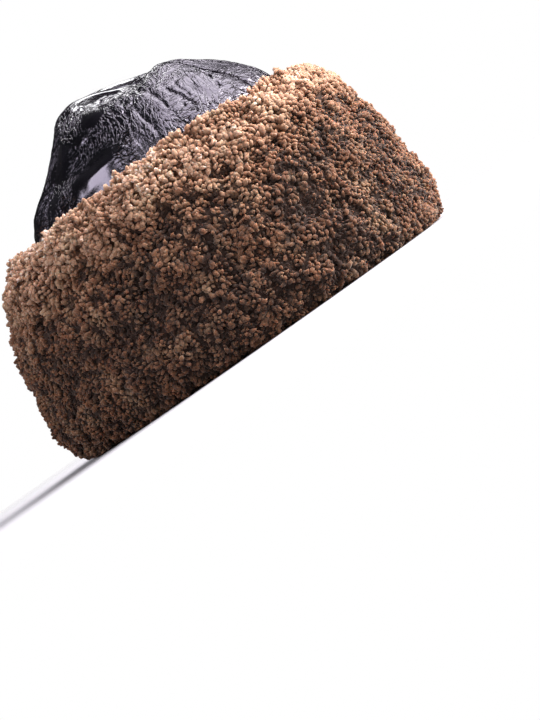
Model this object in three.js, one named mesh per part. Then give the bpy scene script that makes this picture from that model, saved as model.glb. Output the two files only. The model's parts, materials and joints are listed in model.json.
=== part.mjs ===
// Sheepskin hat: a leather crown of three wedge panels inside a deep turned-up cuff of curly wool, with a
// black band inside the rim. Millimetres, +Z up. The origin is the centre of the head opening, on the
// surface that the hat rests on. The front of the hat faces -Y, and the wearer's right is -X.
// An azimuth is measured from the front towards the wearer's right, in degrees.
import * as THREE from "three";
import { mergeVertices } from "three/addons/utils/BufferGeometryUtils.js";

// Head opening, measured inside the band
const headLength = 198;
const headWidth = 164;

// Walls and the clearances between them
const bandWall = 1.5;
const leatherWall = 2;
const bandClearance = 0.6;
const cuffClearance = 0.6;
const seamGap = 0.5;

// Heights above the surface that the hat rests on
const crownHeight = 167;
const rimHeight = 5;
const cuffHeight = 108;
const bandHeight = 38;

// Wool of the cuff: its skin and pile together, the curled locks that stand out of the pile, and the waves of
// its crest
const woolDepth = 23.5;
const toeClearance = 0.4;
const lockDepth = 5;
const crestWave = 2.5;

// Folds and seams of the leather, which is smooth below the share of the crown's height at reliefStart
const foldDepth = 8;
const seamDepth = 1.2;
const seamWidth = 4;
const reliefStart = 0.52;

// Radius round the tip where the leather's thickness turns from square to the slope to upright
const tipRadius = 9;

const weldTolerance = 1e-3;

// The wedge panels of the crown, each between two seams at azimuths in degrees
const crownPanels = [
  { side: "right", from: 0, to: 116 },
  { side: "back", from: 116, to: 244 },
  { side: "left", from: 244, to: 360 },
];

// Sections of the crown from the rim to the tip. height is a share of the way from the rim to the tip,
// spread a share of the rim's size, and forward a share of the head's length.
const crownSections = [
  { height: 0.0, spread: 1.0, forward: 0.0 },
  { height: 0.155, spread: 0.995, forward: 0.0 },
  { height: 0.31, spread: 0.965, forward: 0.006 },
  { height: 0.466, spread: 0.913, forward: 0.016 },
  { height: 0.59, spread: 0.855, forward: 0.03 },
  { height: 0.69, spread: 0.79, forward: 0.042 },
  { height: 0.76, spread: 0.715, forward: 0.052 },
  { height: 0.82, spread: 0.61, forward: 0.054 },
  { height: 0.875, spread: 0.48, forward: 0.044 },
  { height: 0.93, spread: 0.345, forward: 0.014 },
  { height: 0.965, spread: 0.22, forward: -0.038 },
  { height: 0.988, spread: 0.1, forward: -0.077 },
  { height: 1.0, spread: 0.0, forward: -0.085 },
];

// Hollows (depth above 0) and rolls (depth below 0) of the soft crown. depth is a share of foldDepth, height
// and tall are shares of the way from the rim to the tip, and azimuth and wide are degrees.
const crownFolds = [
  { azimuth: 90, height: 0.795, depth: 0.75, wide: 24, tall: 0.05 },
  { azimuth: 88, height: 0.715, depth: -0.4, wide: 26, tall: 0.035 },
  { azimuth: 82, height: 0.875, depth: -0.25, wide: 24, tall: 0.04 },
  { azimuth: 44, height: 0.94, depth: 0.5, wide: 36, tall: 0.03 },
  { azimuth: 14, height: 0.9, depth: -0.25, wide: 24, tall: 0.05 },
  { azimuth: 30, height: 0.76, depth: 0.2, wide: 22, tall: 0.05 },
  { azimuth: 150, height: 0.8, depth: 0.5, wide: 22, tall: 0.06 },
  { azimuth: 178, height: 0.74, depth: -0.35, wide: 28, tall: 0.045 },
  { azimuth: 214, height: 0.83, depth: 0.6, wide: 22, tall: 0.06 },
  { azimuth: 262, height: 0.75, depth: -0.3, wide: 22, tall: 0.04 },
  { azimuth: 284, height: 0.82, depth: 0.7, wide: 24, tall: 0.06 },
  { azimuth: 316, height: 0.92, depth: 0.4, wide: 30, tall: 0.04 },
  { azimuth: 340, height: 0.78, depth: 0.25, wide: 18, tall: 0.06 },
];

// The wool's outline from the foot that it rests on to its crest. height is a share of the cuff's height and
// depth a share of woolDepth.
const woolOutline = [
  { height: 0.0, depth: 0.6 },
  { height: 0.045, depth: 0.84 },
  { height: 0.13, depth: 0.96 },
  { height: 0.3, depth: 1.0 },
  { height: 0.52, depth: 0.99 },
  { height: 0.73, depth: 0.92 },
  { height: 0.88, depth: 0.75 },
  { height: 0.97, depth: 0.48 },
  { height: 1.0, depth: 0.2 },
];

// How finely each piece is faceted. The cuff has locksAround locks in a row, each lockColumns wide.
const panelColumns = 14;
const panelRows = 24;
const panelSeamShare = 0.016;
const locksAround = 30;
const lockColumns = 4;
const lockRows = 5;
const rowsPerLock = 3;
const cuffSkinRows = 8;
const bandColumns = 48;

// Sizes that follow from the ones above
const rimHalfLength = headLength / 2 + bandWall + bandClearance + leatherWall;
const rimHalfWidth = headWidth / 2 + bandWall + bandClearance + leatherWall;
const crownRise = crownHeight - rimHeight;
const toeReach = leatherWall + bandClearance + bandWall;
const skinStand = seamGap + cuffClearance;

const crownCurve = new THREE.CatmullRomCurve3(
  crownSections.map((row) => new THREE.Vector3(row.spread, row.height, row.forward)),
);
const woolCurve = new THREE.SplineCurve(woolOutline.map((row) => new THREE.Vector2(row.depth, row.height)));

// A point of the smooth crown at an azimuth and a place from 0 at the rim to 1 at the tip
function smoothCrown(azimuth, along) {
  const section = crownCurve.getPoint(along);
  const turn = THREE.MathUtils.degToRad(azimuth);
  return new THREE.Vector3(
    -Math.sin(turn) * rimHalfWidth * section.x,
    -Math.cos(turn) * rimHalfLength * section.x - section.z * headLength,
    rimHeight + crownRise * section.y,
  );
}

// The direction of the leather's thickness there: square to the crown, and upright at the tip
function outwardAt(azimuth, along) {
  const step = 1e-3;
  const place = Math.min(along, 1 - 2 * step);
  const sideways = smoothCrown(azimuth + 1, place).sub(smoothCrown(azimuth - 1, place));
  const upwards = smoothCrown(azimuth, place + step).sub(smoothCrown(azimuth, Math.max(place - step, 0)));
  const outward = upwards.cross(sideways).normalize();
  const radius = crownCurve.getPoint(along).x * rimHalfWidth;
  const square = THREE.MathUtils.smoothstep(radius, 0, tipRadius);
  outward.multiply(new THREE.Vector3(square, square, 1));
  return outward.normalize();
}

function bell(distance, width) {
  return Math.exp(-((distance / width) ** 2));
}

function turnBetween(a, b) {
  return Math.abs(THREE.MathUtils.euclideanModulo(a - b + 180, 360) - 180);
}

// How far the folds and seams push the leather out of the smooth crown
function crownRelief(azimuth, along) {
  const section = crownCurve.getPoint(along);
  let relief = 0;
  for (const fold of crownFolds) {
    const sideways = bell(turnBetween(azimuth, fold.azimuth), fold.wide);
    relief -= foldDepth * fold.depth * sideways * bell(section.y - fold.height, fold.tall);
  }
  const turnToSeam = Math.min(...crownPanels.map((panel) => turnBetween(azimuth, panel.from)));
  const seamDistance = THREE.MathUtils.degToRad(turnToSeam) * rimHalfWidth * section.x;
  relief -= seamDepth * bell(seamDistance, seamWidth);
  const aboveStart = THREE.MathUtils.smoothstep(section.y, reliefStart, reliefStart + 0.1);
  return relief * aboveStart * THREE.MathUtils.smoothstep(section.x * rimHalfWidth, 0, tipRadius);
}

// A point at a distance out of the crown's outer face
function offCrown(azimuth, along, out) {
  const push = crownRelief(azimuth, along) + out;
  return smoothCrown(azimuth, along).addScaledVector(outwardAt(azimuth, along), push);
}

// The place along the crown's curve that lies at a height, found by halving
function placeAtHeight(height) {
  const share = (height - rimHeight) / crownRise;
  let low = 0;
  let high = 1;
  for (let i = 0; i < 24; i++) {
    const middle = (low + high) / 2;
    if (crownCurve.getPoint(middle).y < share) low = middle;
    else high = middle;
  }
  return (low + high) / 2;
}

// A point out of the crown's wall at a height, which below the rim goes straight down
function offWall(azimuth, height, out) {
  if (height >= rimHeight) return offCrown(azimuth, placeAtHeight(height), out);
  const point = offCrown(azimuth, 0, out);
  point.z = height;
  return point;
}

// A closed skin over rows of points. Each row is a loop, and so is the run of rows if the piece is a ring.
function skinOver(rows, isRing) {
  const columns = rows[0].length;
  const index = [];
  for (let r = 0; r < (isRing ? rows.length : rows.length - 1); r++) {
    for (let c = 0; c < columns; c++) {
      const below = r * columns;
      const above = ((r + 1) % rows.length) * columns;
      const next = (c + 1) % columns;
      index.push(below + c, above + next, below + next);
      index.push(below + c, above + c, above + next);
    }
  }
  const skin = new THREE.BufferGeometry().setFromPoints(rows.flat());
  skin.setIndex(index);
  return withoutFlatFaces(mergeVertices(skin, weldTolerance));
}

// Drops the faces whose corners were welded together, where a row closes to a line or a point
function withoutFlatFaces(geometry) {
  const old = geometry.getIndex().array;
  const kept = [];
  for (let i = 0; i < old.length; i += 3) {
    const [a, b, c] = [old[i], old[i + 1], old[i + 2]];
    if (a !== b && b !== c && c !== a) kept.push(a, b, c);
  }
  geometry.setIndex(kept);
  geometry.computeVertexNormals();
  return geometry;
}

// Azimuth shares across a wedge, with a narrow column beside each seam for the seam's valley
function panelShares() {
  const inner = Array.from(
    { length: panelColumns + 1 },
    (_, i) => panelSeamShare + ((1 - 2 * panelSeamShare) * i) / panelColumns,
  );
  return [0, ...inner, 1];
}

// One leather wedge between two seams, from the rim up to the tip
function panelGeometry({ from, to }) {
  const azimuths = panelShares().map((share) => THREE.MathUtils.lerp(from, to, share));
  const rowAt = (along, outerFace, innerFace) => [
    ...azimuths.map((azimuth) => offCrown(azimuth, along, outerFace)),
    ...azimuths.toReversed().map((azimuth) => offCrown(azimuth, along, innerFace)),
  ];
  // The first row lies wholly on the outer edge, so that the skin closes across the rim
  const rows = [rowAt(0, 0, 0)];
  for (let r = 0; r <= panelRows; r++) rows.push(rowAt(r / panelRows, 0, -leatherWall));
  return skinOver(rows, false);
}

// A repeatable value from 0 to 1 for one lock of wool
function lockChance(row, column, salt) {
  const mixed = Math.sin(row * 127.1 + column * 311.7 + salt * 74.7) * 43758.5453;
  return mixed - Math.floor(mixed);
}

// The lock at an azimuth and a share of the wool's outline, and the place inside it from -0.5 to 0.5.
// Each row of locks is staggered by half a lock.
function lockAt(azimuth, woolShare) {
  const row = Math.min(Math.floor(woolShare * lockRows), lockRows - 1);
  const place = (THREE.MathUtils.euclideanModulo(azimuth, 360) / 360) * locksAround + 0.5 * (row % 2);
  const column = Math.floor(place) % locksAround;
  return { row, column, sideways: place - Math.floor(place) - 0.5, upwards: woolShare * lockRows - row - 0.5 };
}

// How far the lock there stands out of the pile: a heap that runs out at its edges and leans its own way
function lockRelief(azimuth, woolShare) {
  const { row, column, sideways, upwards } = lockAt(azimuth, woolShare);
  const leanSide = 2 * lockChance(row, column, 1) - 1;
  const leanUp = 2 * lockChance(row, column, 2) - 1;
  const heap = (1 - 4 * sideways ** 2) * (1 - 4 * upwards ** 2) * (1 + leanSide * sideways + leanUp * upwards);
  return lockDepth * (0.5 + 0.5 * lockChance(row, column, 3)) * heap;
}

// A point of the wool's face, from 0 at the foot to 1 at the crest, which the locks make uneven
function woolPoint(azimuth, share) {
  const outline = woolCurve.getPoint(share);
  const { row, column } = lockAt(azimuth, share);
  const wave = crestWave * (lockChance(row, column, 4) - 0.5) * THREE.MathUtils.smoothstep(share, 0.8, 1);
  const relief = lockRelief(azimuth, share) * THREE.MathUtils.smoothstep(share, 0, 0.2);
  const out = skinStand + outline.x * woolDepth + relief;
  return offWall(azimuth, outline.y * cuffHeight + wave, out);
}

// The cuff's section at an azimuth: toe, skin side up the crown, crest, wool side down, and the flat foot
function cuffSection(azimuth) {
  const toeTop = rimHeight - toeClearance;
  const section = [offWall(azimuth, 0, -toeReach), offWall(azimuth, toeTop, -toeReach)];
  for (let i = 0; i <= cuffSkinRows; i++) {
    const height = THREE.MathUtils.lerp(toeTop, cuffHeight - crestWave, i / cuffSkinRows);
    section.push(offWall(azimuth, height, skinStand));
  }
  const woolRows = lockRows * rowsPerLock;
  for (let i = woolRows; i >= 0; i--) section.push(woolPoint(azimuth, i / woolRows));
  section.at(-1).z = 0;
  return section;
}

function cuffGeometry() {
  const columns = locksAround * lockColumns;
  const rows = [];
  for (let c = 0; c < columns; c++) rows.push(cuffSection((360 * c) / columns));
  return skinOver(rows, true);
}

// The band inside the rim, standing on the toe of the cuff
function bandGeometry() {
  const outerFace = -leatherWall - bandClearance;
  const innerFace = outerFace - bandWall;
  const middle = (rimHeight + bandHeight) / 2;
  const rows = [];
  for (let c = 0; c < bandColumns; c++) {
    const azimuth = (360 * c) / bandColumns;
    rows.push([
      ...[rimHeight, middle, bandHeight].map((height) => offWall(azimuth, height, innerFace)),
      ...[bandHeight, middle, rimHeight].map((height) => offWall(azimuth, height, outerFace)),
    ]);
  }
  return skinOver(rows, true);
}

function materialOf(color, roughness) {
  return new THREE.MeshStandardMaterial({ color, roughness, metalness: 0 });
}

const leather = materialOf(0x17151c, 0.3);
const wool = materialOf(0x7d5a48, 0.95);
const lining = materialOf(0x16151a, 0.6);

const hat = new THREE.Group();

// Each wedge stands a little outwards, so that seamGap stays open at its seams
for (const crownPanel of crownPanels) {
  const panel = new THREE.Mesh(panelGeometry(crownPanel), leather);
  panel.name = `crown_${crownPanel.side}`;
  const middle = THREE.MathUtils.degToRad((crownPanel.from + crownPanel.to) / 2);
  const halfWidth = THREE.MathUtils.degToRad((crownPanel.to - crownPanel.from) / 2);
  const apart = seamGap / 2 / Math.sin(halfWidth);
  panel.position.set(-Math.sin(middle) * apart, -Math.cos(middle) * apart, 0);
  hat.add(panel);
}

const cuff = new THREE.Mesh(cuffGeometry(), wool);
cuff.name = "cuff";
hat.add(cuff);

const band = new THREE.Mesh(bandGeometry(), lining);
band.name = "inner_band";
hat.add(band);

export default hat;
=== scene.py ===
import itertools
import json
import math

import bpy
import numpy as np
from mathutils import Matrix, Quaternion, Vector
from mathutils.bvhtree import BVHTree

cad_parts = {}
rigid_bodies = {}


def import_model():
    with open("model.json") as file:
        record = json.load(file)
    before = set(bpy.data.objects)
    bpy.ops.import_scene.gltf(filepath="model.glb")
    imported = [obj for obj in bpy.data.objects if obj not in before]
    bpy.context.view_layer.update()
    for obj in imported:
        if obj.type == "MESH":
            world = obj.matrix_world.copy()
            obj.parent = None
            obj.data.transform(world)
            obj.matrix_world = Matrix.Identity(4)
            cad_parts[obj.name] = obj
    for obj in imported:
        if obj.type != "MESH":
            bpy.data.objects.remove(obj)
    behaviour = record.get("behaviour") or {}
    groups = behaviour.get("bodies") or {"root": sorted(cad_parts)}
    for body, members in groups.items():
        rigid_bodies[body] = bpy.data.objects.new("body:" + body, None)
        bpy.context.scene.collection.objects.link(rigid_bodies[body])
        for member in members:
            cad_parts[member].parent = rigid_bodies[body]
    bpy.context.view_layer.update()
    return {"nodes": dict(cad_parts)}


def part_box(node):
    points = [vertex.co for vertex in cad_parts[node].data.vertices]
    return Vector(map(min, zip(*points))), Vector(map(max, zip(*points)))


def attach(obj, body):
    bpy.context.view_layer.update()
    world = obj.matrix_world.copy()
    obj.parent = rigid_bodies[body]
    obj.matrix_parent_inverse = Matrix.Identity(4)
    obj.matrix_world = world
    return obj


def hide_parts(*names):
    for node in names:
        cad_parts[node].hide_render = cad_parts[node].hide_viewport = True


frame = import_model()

scene = bpy.context.scene
mm = 0.001
print("frame loaded:", ", ".join(sorted(frame["nodes"])))


# Nodes and shader maths


# A node socket that Python's operators work on: each one adds a Math node
class Signal:
    def __init__(self, look, socket):
        self.look = look
        self.socket = socket

    def math(self, operation, *values):
        return self.look.node("ShaderNodeMath", {"operation": operation}, dict(enumerate(values)))

    def __add__(self, other):
        return self.math("ADD", self, other)

    def __sub__(self, other):
        return self.math("SUBTRACT", self, other)

    def __rsub__(self, other):
        return self.math("SUBTRACT", other, self)

    def __mul__(self, other):
        return self.math("MULTIPLY", self, other)

    def __abs__(self):
        return self.math("ABSOLUTE", self)

    __radd__ = __add__
    __rmul__ = __mul__


# One node tree, whose nodes all come from node(): its type, its settings, then the values of its sockets
class Look:
    def __init__(self, tree):
        self.tree = tree

    def node(self, kind, settings=None, values=None, output=0):
        made = self.tree.nodes.new(kind)
        for name, value in (settings or {}).items():
            if name == "stops":
                self.setStops(made.color_ramp, value)
            else:
                setattr(made, name, value)
        for name, value in (values or {}).items():
            if isinstance(value, Signal):
                self.tree.links.new(value.socket, made.inputs[name])
            else:
                made.inputs[name].default_value = value
        return Signal(self, made.outputs[output] if len(made.outputs) else None)

    def setStops(self, ramp, stops):
        while len(ramp.elements) < len(stops):
            ramp.elements.new(0.5)
        for element, (place, colour) in zip(ramp.elements, stops):
            element.position = place
            element.color = (*colour, 1)

    # Another output of a node that node() has made
    def also(self, signal, output):
        return Signal(self, signal.socket.node.outputs[output])

    # A value that the mesh holds at each point
    def held(self, name):
        return self.node("ShaderNodeAttribute", {"attribute_name": name}, output="Fac")

    # A soft change from start to end while a value goes from low to high
    def fade(self, value, low, high, start=0.0, end=1.0):
        return self.node("ShaderNodeMapRange", {"interpolation_type": "SMOOTHSTEP"},
                         {"Value": value, "From Min": low, "From Max": high, "To Min": start, "To Max": end})


def newLook(name):
    material = bpy.data.materials.new(name)
    material.use_nodes = True
    material.node_tree.nodes.clear()
    return material, Look(material.node_tree)


# Numbers that stand for a surface


# Smooth random values of about -1 to 1 at each row of points, the same for the same seed
def smoothNoise(points, seed):
    chance = np.random.default_rng(seed)
    slopes = chance.normal(size=(256, 3))
    slopes /= np.linalg.norm(slopes, axis=1, keepdims=True)
    shuffled = chance.permutation(256)
    points = np.asarray(points, float)
    cell = np.floor(points).astype(int)
    part = points - cell
    ease = part ** 3 * (part * (part * 6 - 15) + 10)
    total = np.zeros(points.shape[:-1])
    for corner in itertools.product((0, 1), repeat=3):
        place = (cell + corner) & 255
        index = shuffled[place[..., 0]]
        index = shuffled[(index + place[..., 1]) & 255]
        index = shuffled[(index + place[..., 2]) & 255]
        weight = np.where(corner, ease, 1 - ease).prod(axis=-1)
        total += weight * (slopes[index] * (part - corner)).sum(axis=-1)
    return total * 1.6


# The same for a flat pattern: lengths along u and along v of one patch of the noise, and a seed
def flatNoise(uv, along, across, seed):
    points = np.stack([uv[..., 0] / along, uv[..., 1] / across, np.full(uv.shape[:-1], seed * 0.37)], axis=-1)
    return smoothNoise(points, seed)


# Three smooth random values at each point, one for each seed
def randomPush(points, size, seeds):
    return np.stack([smoothNoise(points / size, seed) for seed in seeds], axis=-1)


def smoothStep(values, low, high):
    share = np.clip((values - low) / (high - low), 0, 1)
    return share * share * (3 - 2 * share)


# Values at places on a smooth curve through the values at stops, along the first axis
def curveThrough(stops, values, places):
    slopes = np.gradient(values, stops, axis=0)
    span = np.clip(np.searchsorted(stops, places, side="right") - 1, 0, len(stops) - 2)
    shape = (-1,) + (1,) * (values.ndim - 1)
    width = (stops[span + 1] - stops[span]).reshape(shape)
    t = ((places - stops[span]) / (stops[span + 1] - stops[span])).reshape(shape)
    start = (1 + 2 * t) * (1 - t) ** 2 * values[span] + t * (1 - t) ** 2 * width * slopes[span]
    end = t * t * (3 - 2 * t) * values[span + 1] + t * t * (t - 1) * width * slopes[span + 1]
    return start + end


# A soft blur of a closed ring of rows, along the first axis
def blurRing(values, reach):
    blurred = np.zeros_like(values)
    total = 0
    for shift in range(-math.ceil(reach * 3), math.ceil(reach * 3) + 1):
        weight = math.exp(-0.5 * (shift / reach) ** 2)
        blurred += weight * np.roll(values, shift, axis=0)
        total += weight
    return blurred / total


def unit(vectors):
    return vectors / np.maximum(np.linalg.norm(vectors, axis=-1, keepdims=True), 1e-12)


rayStart = 0.3  # metres from the middle to where a ray inwards starts, clear of the hat


# Every face of the named solids, to cast rays at, and which name each face belongs to
def castTarget(names):
    corners, faces, owners = [], [], []
    for owner, name in enumerate(names):
        mesh = frame["nodes"][name].data
        start = len(corners)
        corners += [corner.co.copy() for corner in mesh.vertices]
        for face in mesh.polygons:
            faces.append([start + corner for corner in face.vertices])
            owners.append(owner)
    return BVHTree.FromPolygons(corners, faces), owners


# The four corners of every cell in a grid of corner numbers
def cells(numbers):
    quads = [numbers[:-1, :-1], numbers[:-1, 1:], numbers[1:, 1:], numbers[1:, :-1]]
    return np.stack(quads, axis=-1).reshape(-1, 4).tolist()


def newMesh(name, corners, faces, material):
    mesh = bpy.data.meshes.new(name)
    mesh.from_pydata([tuple(corner) for corner in corners], [], faces)
    mesh.shade_smooth()
    mesh.materials.append(material)
    return mesh


def addValues(mesh, name, values):
    mesh.attributes.new(name, "FLOAT", "POINT").data.foreach_set("value", values.astype(np.float32).ravel())


def addPiece(mesh, node):
    piece = bpy.data.objects.new(mesh.name, mesh)
    scene.collection.objects.link(piece)
    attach(piece, "root")
    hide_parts(node)


# The camera and the room

view = {
    "turn": 52,  # degrees from the front of the hat towards the wearer's right
    "height": 20 * mm,  # over the floor, where the photograph looks up from below the rim
    "distance": 1.3,
    "roll": 35,  # degrees that the hat leans in the picture
    "picture": (540, 720),
    "hatPoint": (0, 0, 80 * mm),
    "hatPixel": (180, 220),  # where that point is in the picture
    "pixelsPerMm": 1.84,
    "sensor": 36,  # mm, along the longer side of the picture
}


def addCamera():
    turn, roll = math.radians(view["turn"]), math.radians(view["roll"])
    back = Vector((-math.sin(turn), -math.cos(turn), 0))
    right = Vector((math.cos(turn), -math.sin(turn), 0))
    width, height = view["picture"]
    offX = (width / 2 - view["hatPixel"][0]) / view["pixelsPerMm"] * mm
    offY = (height / 2 - view["hatPixel"][1]) / view["pixelsPerMm"] * mm
    target = Vector(view["hatPoint"])
    place = target + back * view["distance"]
    place.z = view["height"]
    aim = target + right * (math.cos(roll) * offX - math.sin(roll) * offY)
    aim.z -= math.sin(roll) * offX + math.cos(roll) * offY
    lens = bpy.data.cameras.new("camera")
    lens.sensor_width = view["sensor"]
    lens.lens = view["pixelsPerMm"] / mm * view["distance"] * view["sensor"] / height
    camera = bpy.data.objects.new("camera", lens)
    camera.location = place
    camera.rotation_mode = "QUATERNION"
    towards = (aim - place).normalized().to_track_quat("-Z", "Y")
    camera.rotation_quaternion = towards @ Quaternion((0, 0, 1), -roll)
    scene.collection.objects.link(camera)
    scene.camera = camera


room = {
    "aim": (0, 0, 90 * mm),
    "paper": (0.42, 0.42, 0.43),
    "paperReach": 0.8,  # half the side of the sheet that the hat stands on
    "paperFade": (0.2, 0.75),  # metres from the middle between which it fades into the background
    "whiteness": 1.0,  # of the background that the camera sees
    "ambience": 0.028,  # of the same background as a light
    # direction from the hat, distance, width, height, power in watts, colour
    "softboxes": {
        "key": ((0.35, -0.55, 0.75), 1.2, 1.85, 1.5, 54, (0.98, 0.94, 1.0)),
        "side": ((-0.76, 0.31, 0.57), 1.3, 0.60, 0.76, 10.5, (0.95, 0.92, 1.0)),
        "rear": ((0.66, 0.40, 0.63), 1.3, 0.24, 0.18, 1.4, (1, 1, 1)),
        "front": ((0.50, -0.83, 0.24), 1.5, 1.4, 0.7, 62.0, (1.0, 0.98, 0.96)),
        "fill": ((-0.78, -0.58, 0.22), 1.7, 1.7, 0.8, 4.5, (1.0, 0.96, 0.93)),
    },
}


def addSoftbox(name, direction, distance, width, height, power, colour):
    light = bpy.data.lights.new(name, "AREA")
    light.shape = "RECTANGLE"
    light.size = width
    light.size_y = height
    light.energy = power
    light.color = colour
    holder = bpy.data.objects.new(name, light)
    away = Vector(direction).normalized()
    holder.location = Vector(room["aim"]) + away * distance
    holder.rotation_mode = "QUATERNION"
    holder.rotation_quaternion = (-away).to_track_quat("-Z", "Y")
    holder.visible_camera = False
    scene.collection.objects.link(holder)


def addBackground():
    world = bpy.data.worlds.new("room")
    world.use_nodes = True
    world.node_tree.nodes.clear()
    look = Look(world.node_tree)
    seen = look.node("ShaderNodeLightPath")
    strength = seen * (room["whiteness"] - room["ambience"]) + room["ambience"]
    background = look.node("ShaderNodeBackground", {}, {"Color": (1, 1, 1, 1), "Strength": strength})
    look.node("ShaderNodeOutputWorld", {}, {"Surface": background})
    scene.world = world


def paperLook():
    material, look = newLook("paper")
    place = look.node("ShaderNodeTexCoord", output="Object")
    away = look.node("ShaderNodeVectorMath", {"operation": "LENGTH"}, {0: place}, output="Value")
    sheet = look.node("ShaderNodeBsdfPrincipled", {}, {"Base Color": (*room["paper"], 1), "Roughness": 0.9})
    clear = look.node("ShaderNodeBsdfTransparent")
    mixed = look.node("ShaderNodeMixShader", {}, {0: look.fade(away, *room["paperFade"]), 1: sheet, 2: clear})
    look.node("ShaderNodeOutputMaterial", {}, {"Surface": mixed})
    return material


def addFloor():
    reach = room["paperReach"]
    corners = [(-reach, -reach, 0), (reach, -reach, 0), (reach, reach, 0), (-reach, reach, 0)]
    floor = bpy.data.objects.new("floor", newMesh("floor", corners, [(0, 1, 2, 3)], paperLook()))
    scene.collection.objects.link(floor)


addCamera()
addBackground()
for name, values in room["softboxes"].items():
    addSoftbox(name, *values)
addFloor()
scene.view_settings.view_transform = "Standard"
print("camera and room made")


# The leather crown

leather = {
    # amount of a cloud, and the colour there; the finish is rubbed where there is more
    "colours": [(0.4, (0.003, 0.0026, 0.004)), (0.75, (0.008, 0.007, 0.010))],
    "clouds": (4, 0.35, 0.65),  # scale of that cloud, and amounts between which the roughness changes
    "roughness": (0.10, 0.19),
    "tint": (0.91, 0.84, 1.0),  # of its reflections
    "uvUnit": 100,  # mm of leather to one unit of its uv map
    "depth": 0.85 * mm,  # of the fine wrinkles
    "wrinkle": (2.8, 9.5),  # mm across and along a fine wrinkle
    # nets of wrinkles: shares of those mm across and along, lean in degrees, width of the lines
    "nets": {
        "down": (1.0, 1.0, 6, 0.16),
        "slant": (0.9, 0.8, -30, 0.16),
        "level": (0.8, 1.0, 75, 0.16),
        "fine": (0.42, 0.35, 18, 0.35),
    },
    # patches where the slanting and the level net take over and where wrinkles are deep: mm across, start
    "patches": {"slant": (22, 5.3), "level": (28, 3.1), "deep": (34, 8.7)},
    "shallow": 0.3,  # share of the depth outside the deep patches
    "fine": (0.10, 0.09),  # share of the depth in the fine net, and how much of it smooth places lose
    "grain": (0.6, -0.015),  # mm across one pore, and its share of the depth
}


# A net of wrinkles that mostly run one way: 0 in the lines and 1 between them
def wrinkleLines(look, uv, acrossShare, alongShare, lean, width):
    across, along = leather["wrinkle"]
    scale = (across * acrossShare / leather["uvUnit"], along * alongShare / leather["uvUnit"], 1)
    turned = look.node("ShaderNodeMapping", {"vector_type": "TEXTURE"},
                       {"Vector": uv, "Rotation": (0, 0, math.radians(lean)), "Scale": scale})
    drift = look.node("ShaderNodeTexNoise", {"noise_dimensions": "2D"},
                      {"Vector": turned, "Scale": 0.9, "Detail": 2.0}, output="Color")
    bent = look.node("ShaderNodeVectorMath", {"operation": "MULTIPLY_ADD"},
                     {0: drift, 1: (1.6, 0.7, 0), 2: turned})
    cells = look.node("ShaderNodeTexVoronoi", {"voronoi_dimensions": "2D", "feature": "DISTANCE_TO_EDGE"},
                      {"Vector": bent, "Scale": 1.0})
    return look.fade(cells, 0.0, width)


# Soft patches of the leather: 1 inside and 0 outside them
def softPatches(look, uv, size, start):
    moved = look.node("ShaderNodeMapping", {}, {"Vector": uv, "Location": (start, start * 1.7, 0)})
    cloud = look.node("ShaderNodeTexNoise", {"noise_dimensions": "2D"},
                      {"Vector": moved, "Scale": leather["uvUnit"] / size, "Detail": 1.0})
    return look.fade(cloud, 0.42, 0.58)


# One signal where a patch is 0 and the other where it is 1
def blend(patch, first, second):
    return first * (1 - patch) + second * patch


# The relief of the wrinkles and pores, in shares of the leather's depth
def leatherHeight(look, uv):
    net = {name: wrinkleLines(look, uv, *row) for name, row in leather["nets"].items()}
    patch = {name: softPatches(look, uv, *row) for name, row in leather["patches"].items()}
    lines = blend(patch["level"], blend(patch["slant"], net["down"], net["slant"]), net["level"])
    smooth = look.held("smooth")
    strength = (patch["deep"] * (1 - leather["shallow"]) + leather["shallow"]) * (1 - smooth)
    fine, lost = leather["fine"]
    size, share = leather["grain"]
    pores = look.node("ShaderNodeTexVoronoi", {"voronoi_dimensions": "2D", "feature": "F1"},
                      {"Vector": uv, "Scale": leather["uvUnit"] / size})
    return lines * strength + net["fine"] * (fine - smooth * lost) + pores * share


def leatherLook():
    material, look = newLook("black_leather")
    uv = look.node("ShaderNodeUVMap", {"uv_map": "leather_mm"})
    bump = look.node("ShaderNodeBump", {},
                     {"Height": leatherHeight(look, uv), "Strength": 1.0, "Distance": leather["depth"]})
    scale, start, end = leather["clouds"]
    cloud = look.node("ShaderNodeTexNoise", {"noise_dimensions": "2D"},
                      {"Vector": uv, "Scale": scale, "Detail": 3})
    low, high = leather["roughness"]
    rough = look.node("ShaderNodeMapRange", {},
                      {"Value": cloud, "From Min": start, "From Max": end, "To Min": low, "To Max": high})
    colour = look.node("ShaderNodeValToRGB", {"stops": leather["colours"]}, {"Fac": cloud})
    finish = look.node("ShaderNodeBsdfPrincipled", {},
                       {"Base Color": colour, "Roughness": rough, "IOR": 1.9, "Specular IOR Level": 0.36,
                        "Specular Tint": (*leather["tint"], 1), "Normal": bump})
    look.node("ShaderNodeOutputMaterial", {}, {"Surface": finish})
    return material


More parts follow.
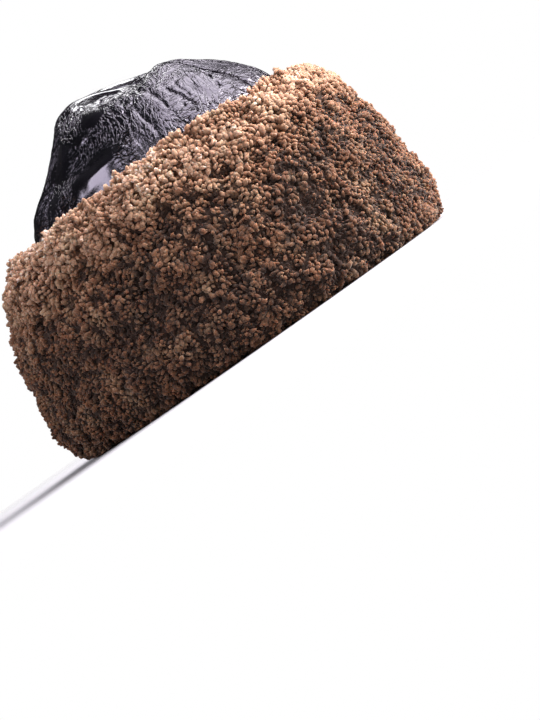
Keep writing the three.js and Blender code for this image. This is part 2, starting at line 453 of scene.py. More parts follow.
crown = {
    "wedges": ["crown_right", "crown_back", "crown_left"],
    "seams": [(-20, 20), (60, 170), (190, 300)],  # degrees between which each wedge's first seam is found
    "halvings": 13,  # of that stretch, to find the seam
    "turnHeight": 98 * mm,  # rays to the leather fan out from here, and run level below it
    "rimHeight": 6.5 * mm,
    "rayLength": 0.28,  # a ray that misses the near side ends before the far one
    "tipDepth": 0.3 * mm,  # the tip is the middle of all corners this close to the highest
    "tipHole": 0.12,  # size of the small hole at the tip, in shares of the first row
    "firstLevel": 0.035,  # of the first row from the tip
    "levels": (26, 8),  # rows of rays above and below turnHeight
    "columns": 24,
    "seamInset": 0.7 * mm,  # of the outermost rays to a wedge from the middle of its seam
    "seamReach": 0.4 * mm,  # that a wedge's edge goes on past those rays
    "seamStart": (3 * mm, 12 * mm),  # down from the tip, where that starts
    "spacing": 0.80 * mm,  # between the points of the finished surface
    "wall": 2 * mm,
    "innerPoints": (22, 27),  # rows above turnHeight and columns of the inner face
    "bare": (99 * mm, 113 * mm),  # heights over which the leather comes out of the cuff
    "wave": (1.0 * mm, 26 * mm),  # height and length of the soft dents
    "waveEnd": (160 * mm, 170 * mm),  # heights over which they end near the tip
    "folds": [
        # depth, mm across and along, lean in degrees, warp in mm, width of the line, seed
        (0.85 * mm, 11.0, 48, 4, 2, 0.11, 11),
        (0.40 * mm, 7.0, 26, -20, 2, 0.16, 12),
        (0.30 * mm, 6.0, 20, 30, 2, 0.20, 13),
        (0.22 * mm, 5.0, 30, 84, 2, 0.24, 14),
    ],
    "foldWarp": 17,  # mm from one bend of a fold to the next
    "foldPatch": (30, -0.25, 0.35),  # mm across a patch with folds, and noise over which they come in
    # the deep creases of the front right: depth and width in mm, and the points of their line
    "creases": [
        (1.9, 0.9, [(-6, -75, 135), (-12, -80, 128), (-16, -84, 122), (-20, -88, 112), (-22, -91, 104)]),
        (0.6, 0.8, [(-9, -72, 138), (-16, -78, 130), (-20, -82, 122)]),
        (1.5, 0.9, [(-24, -59, 142), (-28, -64, 136), (-30, -69, 131), (-33, -76, 122)]),
        (0.8, 0.8, [(-17, -63, 143), (-25, -69, 135), (-29, -74, 127)]),
        (0.8, 0.8, [(-29, -55, 143), (-35, -61, 135), (-38, -66, 129)]),
        (0.4, 0.8, [(-47, -59, 125), (-46, -66, 119), (-42, -73, 115)]),
    ],
    "creaseDrift": (1.6 * mm, 9 * mm),  # how far and how often a drawn crease strays from its line
    "ragged": (0.5, 5),  # how much its depth varies, and mm from one change to the next
    "dents": [
        # x, y, z of the middle, reach and depth in mm; a negative depth is a bulge
        (-9, -26, 157, 16, 4.4),
        (-10, -38, 154, 9, 1.6),
        (-12, -56, 148, 8, -0.8),
        (5, -72, 137, 18, 2.2),
        (0, -56, 149, 13, -2.6),
        (1, -36, 153, 8, 1.2),
        (-13, 6, 163, 9, -1.0),
        (-51, 34, 122, 16, -2.4),
    ],
    # x, y, z and reach in mm of the places that are stretched smooth, and how smooth they are
    "smooth": [
        (-66, -22, 121, 19, 1.0),
        (-39, -22, 149, 9, 0.9),
        (2, -14, 159, 15, 1.0),
        (-10, -5, 160, 10, 1.0),
        (-45, 10, 139, 12, 0.9),
        (-50, -15, 134, 14, 0.55),
        (-52, -34, 138, 12, 0.4),
        (-45, -64, 122, 13, 0.45),
        (-14, -82, 125, 12, 0.35),
    ],
    "smoothEdge": (0.7, 1.3),  # shares of its reach over which such a place fades out
    "seamDip": (0.6 * mm, 1.3 * mm),  # depth and reach of the dip beside a seam
    "gather": (0.35 * mm, 4.5, 8),  # height, mm of one gather along the seam, mm that it runs in
    "gatherWarp": (2.5, 12),  # how uneven the gathers are, and mm from one change to the next
    "gatherStart": (8, 20),  # mm down from the tip over which they come in
    "patternStep": (3.7, 1.9),  # that each wedge moves on in the leather's pattern, in units of the uv map
}


# The first face outwards at a turn and a level: 0 at the tip, 1 at turnHeight and 2 at the rim
def crownCast(target, tip, turn, level):
    outwards = Vector((-math.sin(turn), -math.cos(turn), 0))
    centre = Vector((tip.x, tip.y, crown["turnHeight"]))
    if level < 1:
        lift = (1 - level) * math.pi / 2
        direction = outwards * math.cos(lift) + Vector((0, 0, math.sin(lift)))
    else:
        direction = outwards
        centre.z = crown["turnHeight"] + (level - 1) * (crown["rimHeight"] - crown["turnHeight"])
    return target.ray_cast(centre + direction * rayStart, -direction, crown["rayLength"])


# The turn of a seam at a level, found by halving the stretch between two wedges
def seamTurn(target, owners, tip, low, high, level):
    first = owners[crownCast(target, tip, low, level)[2]]
    for _ in range(crown["halvings"]):
        middle = (low + high) / 2
        found = crownCast(target, tip, middle, level)[2]
        if found is None:
            return middle
        if owners[found] == first:
            low = middle
        else:
            high = middle
    return (low + high) / 2


# One wedge as a coarse grid of points, levels by shares of its width
def wedgeGrid(target, tip, levels, turns, shares):
    grid = np.zeros((len(levels), len(shares), 3))
    for row, level in enumerate(levels):
        start, end = turns[row]
        middle = crownCast(target, tip, (start + end) / 2, level)[0]
        inset = crown["seamInset"] / math.hypot(middle.x - tip.x, middle.y - tip.y)
        for column, share in enumerate(shares):
            turn = start + inset + (end - start - 2 * inset) * share
            grid[row, column] = crownCast(target, tip, turn, level)[0]
    top = np.array(tip)
    first = top + (grid[:1] - top) * crown["tipHole"]
    return np.concatenate([first, grid])


# That grid at the finished spacing, and how many of its rows are above turnHeight
def finePoints(grid, levels, shares):
    down = np.linalg.norm(np.diff(grid, axis=0), axis=2).mean(axis=1)
    down = np.concatenate([[0], down.cumsum()])
    turnRow = len([level for level in levels if level < 1]) + 1
    fineRows = max(2, round(down[turnRow] / crown["spacing"]))
    places = np.concatenate([np.linspace(0, down[turnRow], fineRows + 1), down[turnRow + 1:]])
    points = curveThrough(down, grid, places)
    width = np.linalg.norm(np.diff(grid[turnRow - 2], axis=0), axis=1).sum()
    across = np.linspace(0, 1, round(width / crown["spacing"]) + 1)
    points = curveThrough(shares, points.transpose(1, 0, 2), across).transpose(1, 0, 2)
    reach = crown["seamReach"] * smoothStep(places, *crown["seamStart"])[:, None]
    points[:, 0] += unit(points[:, 0] - points[:, 1]) * reach
    points[:, -1] += unit(points[:, -1] - points[:, -2]) * reach
    return points, fineRows


# Lengths along the leather in mm: across from the middle of the wedge, and down from the tip
def wedgeLengths(points):
    across = np.linalg.norm(np.diff(points, axis=1), axis=2).cumsum(axis=1) / mm
    across = np.concatenate([np.zeros((len(points), 1)), across], axis=1)
    down = np.linalg.norm(np.diff(points, axis=0), axis=2).cumsum(axis=0) / mm
    down = np.concatenate([np.zeros((1, points.shape[1])), down], axis=0)
    middle = across[:, -1:] / 2
    return np.stack([across - middle, down], axis=-1), np.minimum(across, 2 * middle - across)


def gridNormals(points):
    return unit(np.cross(np.gradient(points, axis=1), np.gradient(points, axis=0)))


# How much each point belongs to a place that is stretched smooth
def smoothPlaces(points):
    low, high = crown["smoothEdge"]
    smooth = np.zeros(points.shape[:-1])
    for x, y, z, reach, most in crown["smooth"]:
        away = np.linalg.norm(points / mm - (x, y, z), axis=-1)
        smooth = np.maximum(smooth, most - most * smoothStep(away, reach * low, reach * high))
    return smooth


# How far each point sinks for the soft wave and the dents; bare is 1 where it is out of the cuff
def dentDepth(points, bare):
    height, length = crown["wave"]
    nearTip = smoothStep(points[..., 2], *crown["waveEnd"])
    total = height * smoothNoise(points / length, 3) * bare * (1 - nearTip) * (1 - smoothPlaces(points))
    for x, y, z, reach, depth in crown["dents"]:
        away = np.linalg.norm(points / mm - (x, y, z), axis=-1)
        total += depth * mm * np.exp(-(away / reach) ** 2)
    return total


# How far each point sinks for the creases that are drawn as lines
def drawnDepth(points):
    strays, length = crown["creaseDrift"]
    points = (points + randomPush(points, length, (32, 33, 34)) * strays) / mm
    varies, length = crown["ragged"]
    ragged = 1 + varies * smoothNoise(points / length, 31)
    total = np.zeros(points.shape[:-1])
    for depth, width, line in crown["creases"]:
        line = np.array(line, float)
        nearest = np.full(total.shape, np.inf)
        for start, end in zip(line, line[1:]):
            along = ((points - start) @ (end - start)) / ((end - start) @ (end - start))
            foot = start + np.clip(along, 0, 1)[..., None] * (end - start)
            nearest = np.minimum(nearest, np.linalg.norm(points - foot, axis=-1))
        total += depth * mm * ragged * np.exp(-(nearest / width) ** 2)
    return total


# How far each point sinks for the folds that come by chance
def foldDepth(uv, index):
    bend = crown["foldWarp"]
    size, low, high = crown["foldPatch"]
    total = np.zeros(uv.shape[:-1])
    for depth, across, along, lean, warp, width, seed in crown["folds"]:
        seed += index * 20
        push = np.stack([flatNoise(uv, bend, bend, seed + 5), flatNoise(uv, bend, bend, seed + 6)], axis=-1)
        bent = uv + push * warp
        angle = math.radians(lean)
        turned = np.stack([bent[..., 0] * math.cos(angle) + bent[..., 1] * math.sin(angle),
                           bent[..., 1] * math.cos(angle) - bent[..., 0] * math.sin(angle)], axis=-1)
        line = np.exp(-(flatNoise(turned, across, along, seed) / width) ** 2)
        total += depth * line * smoothStep(flatNoise(uv, size, size, seed + 7), low, high)
    return total


# How far each point sinks beside the seams, where the leather is also gathered
def seamDepth(uv, fromSeam, index):
    dip, reach = crown["seamDip"]
    height, length, run = crown["gather"]
    uneven, size = crown["gatherWarp"]
    along = uv[..., 1] / length * 2 * math.pi + uneven * flatNoise(uv, size, size, 40 + index)
    gathers = height * (0.5 + 0.5 * np.sin(along)) * np.exp(-fromSeam / run)
    gathers *= smoothStep(uv[..., 1], *crown["gatherStart"])
    return gathers + dip * np.exp(-(fromSeam * mm / reach) ** 2)


# A wedge's outer points, and its inner ones at some of its rows and columns, joined round the edge
def wedgeFaces(rows, columns, innerRows, innerColumns):
    outer = np.arange(rows * columns).reshape(rows, columns)
    inner = rows * columns + np.arange(len(innerRows) * len(innerColumns)).reshape(len(innerRows), -1)
    faces = cells(outer) + cells(inner.T)
    for place, (low, high) in enumerate(zip(innerColumns, innerColumns[1:])):
        faces.append([inner[0, place], inner[0, place + 1], *outer[0, low:high + 1][::-1]])
        faces.append([inner[-1, place + 1], inner[-1, place], *outer[-1, low:high + 1]])
    for place, (low, high) in enumerate(zip(innerRows, innerRows[1:])):
        faces.append([inner[place + 1, 0], inner[place, 0], *outer[low:high + 1, 0]])
        faces.append([inner[place, -1], inner[place + 1, -1], *outer[low:high + 1, -1][::-1]])
    return faces


def addFlatPlaces(mesh, places):
    layer = mesh.uv_layers.new(name="leather_mm")
    corners = np.zeros(len(mesh.loops), int)
    mesh.loops.foreach_get("vertex_index", corners)
    layer.data.foreach_set("uv", places[corners].astype(np.float32).ravel())


def addWedge(index, grid, levels, shares, material):
    points, fineRows = finePoints(grid, levels, shares)
    rows, columns = points.shape[:2]
    normals = gridNormals(points)
    bare = smoothStep(points[..., 2], *crown["bare"])
    points -= normals * dentDepth(points, bare)[..., None]
    uv, fromSeam = wedgeLengths(points)
    creases = (foldDepth(uv, index) + seamDepth(uv, fromSeam, index)) * (1 - smoothPlaces(points))
    outer = points - normals * ((creases + drawnDepth(points)) * bare)[..., None]

    above, across = crown["innerPoints"]
    innerRows = sorted({round(row) for row in np.linspace(0, fineRows, above)} | set(range(fineRows, rows)))
    innerColumns = [round(column) for column in np.linspace(0, columns - 1, across)]
    chosen = np.ix_(innerRows, innerColumns)
    inner = (points - normals * crown["wall"])[chosen]
    corners = np.concatenate([outer.reshape(-1, 3), inner.reshape(-1, 3)])
    flat = np.concatenate([uv.reshape(-1, 2), uv[chosen].reshape(-1, 2)])
    faces = wedgeFaces(rows, columns, innerRows, innerColumns)
    name = crown["wedges"][index]
    mesh = newMesh("leather_" + name.split("_")[1], corners, faces, material)
    addFlatPlaces(mesh, flat / leather["uvUnit"] + np.multiply(crown["patternStep"], index))
    addValues(mesh, "smooth", smoothPlaces(corners))
    addPiece(mesh, name)


def addCrown():
    target, owners = castTarget(crown["wedges"])
    corners = [corner.co for name in crown["wedges"] for corner in frame["nodes"][name].data.vertices]
    top = max(corner.z for corner in corners)
    highest = [corner for corner in corners if corner.z > top - crown["tipDepth"]]
    tip = sum(highest, Vector()) / len(highest)
    above, below = crown["levels"]
    levels = [*np.linspace(crown["firstLevel"], 1, above), *np.linspace(1, 2, below + 1)[1:]]
    shares = np.linspace(0, 1, crown["columns"] + 1)
    seams = np.array([[seamTurn(target, owners, tip, math.radians(low), math.radians(high), level)
                       for low, high in crown["seams"]] for level in levels])
    seams = np.column_stack([seams, seams[:, 0] + 2 * math.pi])
    material = leatherLook()
    for index in range(len(crown["wedges"])):
        grid = wedgeGrid(target, tip, levels, seams[:, index:index + 2], shares)
        addWedge(index, grid, levels, shares, material)


addCrown()
print("crown made")


# The cuff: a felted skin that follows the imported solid, and the locks that grow on it

wool = {
    # shade, and the wool's colour there: roots dark as painted shade between the curls, middle, tips, and the
    # palest tips of the top edge as painted light from above
    "colours": [
        (0.08, (0.022, 0.009, 0.005)),
        (0.45, (0.158, 0.069, 0.033)),
        (0.85, (0.41, 0.252, 0.166)),
        (1.0, (0.84, 0.69, 0.60)),
    ],
    # what makes a shade paler: nearness to a curl's tip, which paints shade at its root; its tone, which
    # holds painted light on the top edge and painted shade in partings and cracks; strands and patches; and
    # where it starts
    "shade": {"tip": 0.44, "tone": 0.29, "strand": 0.6, "patch": 0.45, "start": -0.12},
    "scales": {"strand": 1100, "patch": 34, "olive": 70},  # of the noise that each one follows
    "olive": (0.50, 0.40, 0.26),  # what some patches turn towards
    "oliveMost": 0.38,  # how far they turn
    "roughness": 0.85,
    "soft": (1.0, 0.55, 0.35),  # how far red, green and blue light go into it, in shares of the depth
    "softDepth": 2 * mm,
    "sheen": (1.0, 0.86, 0.78),
    "bump": 0.6 * mm,  # of a strand
}


def woolLook():
    material, look = newLook("brown_wool")
    place = look.node("ShaderNodeTexCoord", output="Object")

    def noise(name, detail):
        return look.node("ShaderNodeTexNoise", {}, {"Vector": place, "Scale": wool["scales"][name],
                                                    "Detail": detail})

    strand, patch = noise("strand", 2), noise("patch", 3)
    share = wool["shade"]
    # painted light and shade: darker at the curls' roots and lighter at their tips, with the tone's painted
    # light on the top edge and painted shade in partings and cracks
    shade = look.held("tip") * share["tip"] + look.held("tone") * share["tone"]
    shade = shade + (strand - 0.5) * share["strand"] + (patch - 0.5) * share["patch"] + share["start"]
    colour = look.node("ShaderNodeValToRGB", {"stops": wool["colours"]}, {"Fac": shade})
    turned = look.node("ShaderNodeMapRange", {},
                       {"Value": noise("olive", 1), "From Min": 0.5, "From Max": 0.75,
                        "To Min": 0.0, "To Max": wool["oliveMost"]})
    colour = look.node("ShaderNodeMix", {"data_type": "RGBA"},
                       {0: turned * shade, 6: colour, 7: (*wool["olive"], 1)}, output=2)
    bump = look.node("ShaderNodeBump", {}, {"Height": strand, "Strength": 0.8, "Distance": wool["bump"]})
    fibre = look.node("ShaderNodeBsdfPrincipled", {},
                      {"Base Color": colour, "Roughness": wool["roughness"], "Specular IOR Level": 0.25,
                       "Subsurface Weight": 0.5, "Subsurface Radius": wool["soft"],
                       "Subsurface Scale": wool["softDepth"], "Sheen Weight": 0.15, "Sheen Roughness": 0.5,
                       "Sheen Tint": (*wool["sheen"], 1), "Normal": bump})
    look.node("ShaderNodeOutputMaterial", {}, {"Surface": fibre})
    return material


# The cross-sections of a ring-shaped solid, each one as points at equal steps round it
def ringSections(name, columns, rows):
    target = castTarget([name])[0]
    low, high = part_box(name)
    height = (low[2] + high[2]) / 2
    rings = []
    for column in range(columns):
        turn = 2 * math.pi * column / columns
        outwards = Vector((-math.sin(turn), -math.cos(turn), 0))
        level = Vector((0, 0, height))
        outer = target.ray_cast(level + outwards * rayStart, -outwards)[0]
        inner = target.ray_cast(level, outwards)[0]
        centre = (outer + inner) / 2
        outline = []
        for step in range(360):  # a ray for each degree
            angle = math.radians(step + 0.5)
            direction = outwards * math.cos(angle) + Vector((0, 0, math.sin(angle)))
            outline.append(target.ray_cast(centre, direction)[0])
        outline = np.array([*outline, outline[0]])
        along = np.concatenate([[0], np.linalg.norm(np.diff(outline, axis=0), axis=1).cumsum()])
        places = np.linspace(0, along[-1], rows, endpoint=False)
        rings.append(np.stack([np.interp(places, along, outline[:, axis]) for axis in range(3)], axis=-1))
    return np.array(rings)


def ringNormals(rings):
    aroundRing = np.roll(rings, -1, axis=0) - np.roll(rings, 1, axis=0)
    aroundSection = np.roll(rings, -1, axis=1) - np.roll(rings, 1, axis=1)
    return unit(np.cross(aroundSection, aroundRing))


def ringMesh(name, rings, material):
    columns, rows = rings.shape[:2]
    numbers = np.pad(np.arange(columns * rows).reshape(columns, rows), ((0, 1), (0, 1)), mode="wrap")
    return newMesh(name, rings.reshape(-1, 3), cells(numbers), material)


felt = {
    "columns": 240,
    "rows": 100,
    "blur": (2.2, 1.3),  # columns and rows over which the solid's own coarse locks are evened out
    "covered": (-0.55, -0.1),  # how far outwards the skin faces where curls start, and where there are all
    "lining": (95 * mm, 101 * mm),  # heights over which they start on the inner face
    "inset": 1.3 * mm,  # of the skin under the solid, for the locks to fill
    "clumps": (2.4 * mm, 11 * mm),  # height and width of the tufts that the locks gather in
    "finer": (0.5, 0.45),  # shares of that height and width in the finer tufts
    "parting": (2.8 * mm, 16 * mm, 0.09),  # depth, mm from one to the next, and sharpness
    "partingDrift": (2 * mm, 6 * mm),  # how far and how often a parting bends
    "thinned": 0.45,  # share of the curls that a parting loses
    "crest": (3.0 * mm, 64, 40),  # rise of the top edge, its turn and reach
    "tufts": (3.6 * mm, 11 * mm),  # height and width of the tufts of that edge
    "finerTufts": (0.6, 5 * mm),  # share of that height in finer ones, and their width
    "topEdge": (84 * mm, 106 * mm),  # heights over which that edge starts
    "paleEdge": (45 * mm, 115 * mm),  # heights over which the wool gets paler, as painted light from above on the top edge
    "tip": (0.28, 0.25, 0.3),  # nearness to a tip that the skin shows, as painted shade at the curls' roots; its loss in partings, as painted shade; share left where bare, darker both as the backing's own colour and as painted shade
    "tone": (0.1, 1.3),  # of the skin at its foot, and the painted light that the top edge adds
    "clearance": 0.8 * mm,  # over the floor
}


def addSkin(material):
    columns, rows = felt["columns"], felt["rows"]
    aroundRing, aroundSection = felt["blur"]
    rings = blurRing(ringSections("cuff", columns, rows), aroundRing)
    rings = blurRing(rings.transpose(1, 0, 2), aroundSection).transpose(1, 0, 2)
    normals = ringNormals(rings)
    facing = (normals * unit(rings * (1, 1, 0))).sum(axis=-1)
    cover = smoothStep(facing, *felt["covered"])

    height, width = felt["clumps"]
    lower, narrower = felt["finer"]
    clump = smoothNoise(rings / width, 5) + lower * smoothNoise(rings / (width * narrower), 6)
    strays, length = felt["partingDrift"]
    drift = randomPush(rings, length, (7, 8, 9)) * strays
    depth, width, sharpness = felt["parting"]
    parting = np.exp(-(smoothNoise((rings + drift) / width, 15) / sharpness) ** 2)
    out = height * clump - depth * parting - felt["inset"]

    rise, middle, reach = felt["crest"]
    turns = np.degrees(np.arctan2(-rings[..., 0], -rings[..., 1]))
    height, width = felt["tufts"]
    lower, narrower = felt["finerTufts"]
    tufts = smoothNoise(rings / width, 21) + lower * smoothNoise(rings / narrower, 22)
    top = smoothStep(rings[..., 2], *felt["topEdge"]) * cover
    lift = top * (rise * np.exp(-((turns - middle) / reach) ** 2) + height * tufts)
    rings += normals * (cover * out)[..., None]
    rings[..., 2] += lift
    rings[..., 2] = np.maximum(rings[..., 2], felt["clearance"])

    mesh = ringMesh("wool_skin", rings, material)
    # painted light and shade: the top edge paler as light from above, and the skin darker in partings as
    # shade and where bare, partly its backing's own colour and partly shade
    crest = smoothStep(rings[..., 2], *felt["paleEdge"])
    lining = smoothStep(rings[..., 2], *felt["lining"])
    shade, taken, bare = felt["tip"]
    foot, added = felt["tone"]
    values = {"cover": np.maximum(cover * (1 - felt["thinned"] * parting), lining), "crest": crest,
              "deep": parting, "tip": (shade - taken * parting) * (bare + (1 - bare) * cover),
              "tone": foot + added * crest ** 2}
    for name, value in values.items():
        addValues(mesh, name, value)
    addPiece(mesh, "cuff")
    return mesh


locks = {
    "kinds": 6,  # of curl to pick from
    "sides": 5,  # of a curl
    "spacing": 1.46 * mm,
    "densest": 900000.0,  # points to a square metre, before the spacing thins them
    "sizes": (0.82, 1.42),
    "lean": 0.8,
    "hook": (0.8, 1.5),  # how far a kind of curl hooks over
    "grain": (0.95, 1.2),  # how large it is
    "flat": (0.8, 1.0),
    "sectors": 5,  # pieces that the wool is made in
    "seed": 9,
    "clearance": 0.3 * mm,  # over the floor
    # of the noise that the curls' lean, swirl and size follow, and the cracks between them
    "scales": {"lean": 75.0, "swirl": 60.0, "size": 110.0, "crack": 105.0},
    "leanMiddle": (0.5, 0.5, 0.56),  # of that noise; a little more makes the curls hang
    "leanMost": 3.2,  # slope that the noise is turned into
    "swirl": (18, 1.2),  # radians that a curl is turned with the noise, and by chance
    "crackStretch": (1.0, 1.0, 0.45),  # of the noise, so that most cracks run up and down
    "crackEdge": (0.012, 0.040),  # how far the noise is from its middle in a crack and at its edge
    # shares of a curl's size: at least, by its patch, on the top edge, and lost in a crack
    "growth": {"least": 0.55, "patch": 0.9, "crest": 0.2, "crack": 0.5},
    "tones": (0.05, 0.68),  # of the curls, by chance
    "toned": {"crest": 1.65, "deep": 1.2, "crack": 1.2},  # painted light that the top edge adds, and painted shade that partings and cracks take
}


# One curl of wool that stands on the origin: a grain that hooks over to one side
def makeCurl(number, material):
    chance = np.random.default_rng(70 + number)
    sides = locks["sides"]
    hook, size, flat = [chance.uniform(*locks[name]) for name in ("hook", "grain", "flat")]
    rings = [
        # sideways, up and radius in mm, share of the way to the tip, which the colour follows from painted
        # shade at the root
        (0.0, -0.3, 0.80, 0.0),
        (0.30 * hook, 0.65, 1.06, 0.45),
        (1.05 * hook, 1.4, 0.78, 0.85),
    ]
    corners, tips = [(0.0, 0.0, -1.2)], [0.0]
    for place, (sideways, up, radius, tip) in enumerate(rings):
        lean = 0.75 * hook * place
        for corner in range(sides):
            angle = 2 * math.pi * (corner + 0.5 * place) / sides
            across = radius * math.cos(angle)
            corners.append((sideways + across * math.cos(lean), radius * flat * math.sin(angle),
                            up - across * math.sin(lean)))
            tips.append(tip)
    corners.append((1.8 * hook, 0.0, 1.8 - 0.45 * hook))
    tips.append(1.0)
    faces = []
    for corner in range(sides):
        following = (corner + 1) % sides
        faces.append((0, 1 + following, 1 + corner))
        for place in range(len(rings) - 1):
            first, second = 1 + place * sides + corner, 1 + place * sides + following
            faces += [(first, second, first + sides), (second, second + sides, first + sides)]
        last = 1 + (len(rings) - 1) * sides
        faces.append((last + corner, last + following, len(corners) - 1))
    corners = [[size * mm * part for part in corner] for corner in corners]
    mesh = newMesh(f"curl_{number}", corners, faces, material)
    # nearness to the tip, which paints the root darker as shade
    addValues(mesh, "tip", np.array(tips))
    return bpy.data.objects.new(mesh.name, mesh)


# The tree that sets curls on a skin, in one of the sectors round the ring
def lockTree():
    tree = bpy.data.node_groups.new("wool_locks", "GeometryNodeTree")
    inputs = {"Skin": "Geometry", "Curls": "Collection", "Spacing": "Float", "Lean": "Float",
              "Smallest": "Float", "Largest": "Float", "Sectors": "Float", "Sector": "Float",
              "Seed": "Int", "Wool": "Material"}
    for name, kind in inputs.items():
        tree.interface.new_socket(name, in_out="INPUT", socket_type="NodeSocket" + kind)
    tree.interface.new_socket("Locks", in_out="OUTPUT", socket_type="NodeSocketGeometry")
    look = Look(tree)
    given = look.node("NodeGroupInput")
    place = look.node("GeometryNodeInputPosition")

    def asked(name):
        return look.also(given, name)

    def named(name):
        return look.node("GeometryNodeInputNamedAttribute", {"data_type": "FLOAT"}, {"Name": name})

    def chance(low, high, seed):
        return look.node("FunctionNodeRandomValue", {"data_type": "FLOAT"}, {2: low, 3: high, 8: seed},
                         output=1)

    def noise(name, vector, detail, output=0):
        return look.node("ShaderNodeTexNoise", {},
                         {"Vector": vector, "Scale": locks["scales"][name], "Detail": detail}, output=output)

    def vector(operation, values):
        return look.node("ShaderNodeVectorMath", {"operation": operation}, values)

    points = look.node("GeometryNodeDistributePointsOnFaces", {"distribute_method": "POISSON"},
                       {"Mesh": given, "Distance Min": asked("Spacing"), "Density Max": locks["densest"],
                        "Density Factor": named("cover"), "Seed": asked("Seed")})
    across = look.node("ShaderNodeSeparateXYZ", {}, {0: place})
    turn = across.math("ARCTAN2", across, look.also(across, "Y")) * (0.5 / math.pi) + 0.5
    sector = turn.math("FLOOR", turn * asked("Sectors"))
    same = sector.math("COMPARE", sector, asked("Sector"), 0.5)
    kept = look.node("GeometryNodeDeleteGeometry", {"domain": "POINT"},
                     {"Geometry": points, "Selection": 1 - same})

    # which way each curl stands, and how it is turned about that
    drift = vector("SUBTRACT", {0: noise("lean", place, 1.0, "Color"), 1: locks["leanMiddle"]})
    drift = vector("SCALE", {0: drift, "Scale": asked("Lean") * locks["leanMost"]})
    aim = vector("ADD", {0: look.also(points, "Normal"), 1: drift})
    upright = look.node("FunctionNodeAlignRotationToVector", {"axis": "Z"}, {"Vector": aim})
    swirl, loose = locks["swirl"]
    spin = noise("swirl", place, 0.0) * swirl + chance(-loose, loose, 2)
    spin = look.node("FunctionNodeAxisAngleToRotation", {}, {"Axis": (0, 0, 1), "Angle": spin})
    turned = look.node("FunctionNodeRotateRotation", {"rotation_space": "LOCAL"},
                       {"Rotation": upright, "Rotate By": spin})

    # how large and how pale it is: a tone by chance, with painted light on the top edge and painted shade in
    # partings and cracks
    crack = noise("crack", vector("MULTIPLY", {0: place, 1: locks["crackStretch"]}), 1.0)
    crack = look.fade(abs(crack - 0.5), *locks["crackEdge"], 1.0, 0.0)
    share = locks["growth"]
    size = chance(0.0, 1.0, 3) * (asked("Largest") - asked("Smallest")) + asked("Smallest")
    growth = named("crest") * share["crest"] + share["least"] + noise("size", place, 0.0) * share["patch"]
    size = size * growth * (1 - crack * share["crack"])
    share = locks["toned"]
    tone = chance(*locks["tones"], 5) + named("crest") * share["crest"]
    tone = tone - named("deep") * share["deep"] - crack * share["crack"]

    curls = look.node("GeometryNodeCollectionInfo", {},
                      {"Collection": asked("Curls"), "Separate Children": True, "Reset Children": True})
    pick = look.node("FunctionNodeRandomValue", {"data_type": "INT"}, {4: 0, 5: locks["kinds"] - 1, 8: 4},
                     output=2)
    grown = look.node("GeometryNodeInstanceOnPoints", {},
                      {"Points": kept, "Instance": curls, "Pick Instance": True, "Instance Index": pick,
                       "Rotation": turned, "Scale": size})
    toned = look.node("GeometryNodeStoreNamedAttribute", {"data_type": "FLOAT", "domain": "INSTANCE"},
                      {"Geometry": grown, "Name": "tone", "Value": tone})
    real = look.node("GeometryNodeRealizeInstances", {}, {"Geometry": toned})
    done = look.node("GeometryNodeSetMaterial", {}, {"Geometry": real, "Material": asked("Wool")})
    look.node("NodeGroupOutput", {}, {"Locks": done})
    return tree


# The locks of one sector as a plain mesh that keeps clear of the floor
def growSector(name, skin, tree, inputs):
    holder = bpy.data.objects.new("lock_holder", skin)
    scene.collection.objects.link(holder)
    grow = holder.modifiers.new("grow", "NODES")
    grow.node_group = tree
    for item in tree.interface.items_tree:
        if item.name in inputs:
            grow[item.identifier] = inputs[item.name]
    graph = bpy.context.evaluated_depsgraph_get()
    mesh = bpy.data.meshes.new_from_object(holder.evaluated_get(graph))
    bpy.data.objects.remove(holder)
    mesh.name = name
    places = np.zeros(len(mesh.vertices) * 3, np.float32)
    mesh.vertices.foreach_get("co", places)
    places = places.reshape(-1, 3)
    places[:, 2] = np.maximum(places[:, 2], locks["clearance"])
    mesh.vertices.foreach_set("co", places.ravel())
    return mesh


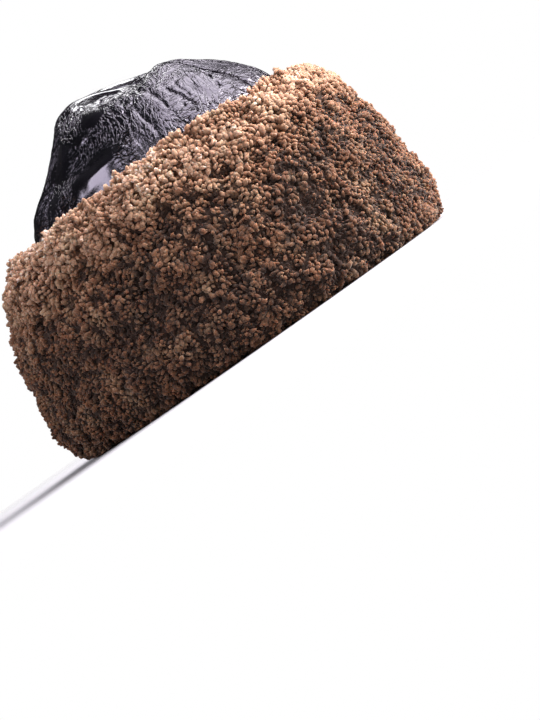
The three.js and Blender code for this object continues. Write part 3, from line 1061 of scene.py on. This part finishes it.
def addLocks(skin, material):
    curls = bpy.data.collections.new("curls")
    for number in range(locks["kinds"]):
        curls.objects.link(makeCurl(number, material))
    tree = lockTree()
    smallest, largest = locks["sizes"]
    inputs = {"Curls": curls, "Spacing": locks["spacing"], "Lean": locks["lean"], "Wool": material,
              "Smallest": smallest, "Largest": largest, "Sectors": float(locks["sectors"]),
              "Seed": locks["seed"]}
    for sector in range(locks["sectors"]):
        mesh = growSector(f"wool_locks_{sector + 1}", skin, tree, {**inputs, "Sector": float(sector)})
        addPiece(mesh, "cuff")
        print(mesh.name, "has", len(mesh.polygons), "faces")
    for curl in list(curls.objects):
        shape = curl.data
        bpy.data.objects.remove(curl)
        bpy.data.meshes.remove(shape)
    bpy.data.collections.remove(curls)
    bpy.data.node_groups.remove(tree)


woolMaterial = woolLook()
addLocks(addSkin(woolMaterial), woolMaterial)
print("cuff made")


# The woven band inside the rim

band = {
    # amount of the pattern, and the colour there; the weave is worn where there is more
    "colours": [(0.35, (0.016, 0.016, 0.018)), (0.8, (0.045, 0.045, 0.050))],
    "columns": 180,
    "rows": 40,
    "blur": 1.6,  # columns over which the solid's facets are evened out
    "rib": 1.1 * mm,  # from one rib of the weave to the next
    "relief": 0.3 * mm,
}


def bandLook():
    material, look = newLook("woven_band")
    place = look.node("ShaderNodeTexCoord", output="Object")
    parts = look.node("ShaderNodeSeparateXYZ", {}, {0: place})
    height = look.also(parts, "Z")
    ribs = abs(height.math("SINE", height * (math.pi / band["rib"])))
    dust = look.node("ShaderNodeTexNoise", {}, {"Vector": place, "Scale": 900, "Detail": 3})
    colour = look.node("ShaderNodeValToRGB", {"stops": band["colours"]}, {"Fac": dust * 0.6 + ribs * 0.3})
    bump = look.node("ShaderNodeBump", {},
                     {"Height": ribs + dust * 0.5, "Strength": 0.7, "Distance": band["relief"]})
    cloth = look.node("ShaderNodeBsdfPrincipled", {},
                      {"Base Color": colour, "Roughness": 0.9, "Sheen Weight": 0.2, "Normal": bump})
    look.node("ShaderNodeOutputMaterial", {}, {"Surface": cloth})
    return material


def addBand():
    rings = blurRing(ringSections("inner_band", band["columns"], band["rows"]), band["blur"])
    addPiece(ringMesh("ribbed_band", rings, bandLook()), "inner_band")


addBand()
print("band made")
